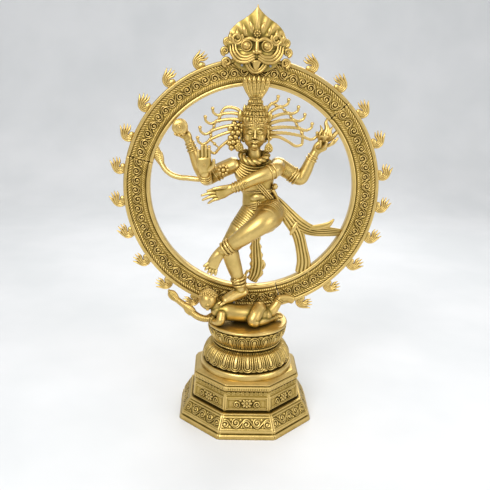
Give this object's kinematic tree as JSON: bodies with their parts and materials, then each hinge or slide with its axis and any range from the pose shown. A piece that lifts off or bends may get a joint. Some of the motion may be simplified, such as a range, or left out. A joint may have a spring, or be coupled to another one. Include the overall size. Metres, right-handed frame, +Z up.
{
  "type": "dancing figure statue",
  "caption": "Cast brass statue of a four-armed dancing figure on a prone dwarf, inside a ring of flames, on a lotus pedestal and eight-sided plinth.",
  "frame": {"origin": "centre of the plinth's underside, where the statue rests", "axes": "+Z up, -Y is the statue's front, +X is the viewer's right as seen from the front"},
  "size_m": [0.5248, 0.254, 0.7615],
  "materials": {
    "cast_brass": "cast brass, polished on the high points",
    "dark_cast_brass": "cast brass with dark patina in its recesses",
    "fastener_steel": "plain steel"
  },
  "bodies": {
    "root": {"plinth": "cast_brass", "lotus_pedestal": "cast_brass", "pedestal_bolts": "fastener_steel", "pedestal_nuts": "fastener_steel", "ring_arc_top": "cast_brass", "ring_arc_left": "cast_brass", "ring_arc_right": "cast_brass", "ring_dowels": "fastener_steel", "ring_foot": "cast_brass", "ring_foot_bolts": "fastener_steel", "crest": "dark_cast_brass", "crest_screws": "fastener_steel", "flame_01": "cast_brass", "flame_02": "cast_brass", "flame_03": "cast_brass", "flame_04": "cast_brass", "flame_05": "cast_brass", "flame_06": "cast_brass", "flame_07": "cast_brass", "flame_08": "cast_brass", "flame_09": "cast_brass", "flame_10": "cast_brass", "flame_11": "cast_brass", "flame_12": "cast_brass", "flame_13": "cast_brass", "flame_14": "cast_brass", "flame_15": "cast_brass", "flame_16": "cast_brass", "flame_17": "cast_brass", "flame_18": "cast_brass", "flame_19": "cast_brass", "flame_20": "cast_brass", "torso": "cast_brass", "head": "cast_brass", "crown": "dark_cast_brass", "crown_fan": "dark_cast_brass", "hair_locks_left": "cast_brass", "hair_locks_right": "cast_brass", "earrings": "cast_brass", "scarf": "dark_cast_brass", "front_right_arm": "cast_brass", "front_left_arm": "cast_brass", "rear_right_arm": "cast_brass", "rear_left_arm": "cast_brass", "drum": "cast_brass", "fire_bowl": "cast_brass", "bowl_fire": "cast_brass", "arm_serpent": "cast_brass", "standing_leg": "cast_brass", "raised_leg": "cast_brass", "limb_dowels": "fastener_steel", "sash": "cast_brass", "cloth_tail": "cast_brass", "dwarf": "dark_cast_brass", "dwarf_serpent": "dark_cast_brass", "tie_stud": "fastener_steel", "stud_nut": "fastener_steel"}
  },
  "joints": []
}
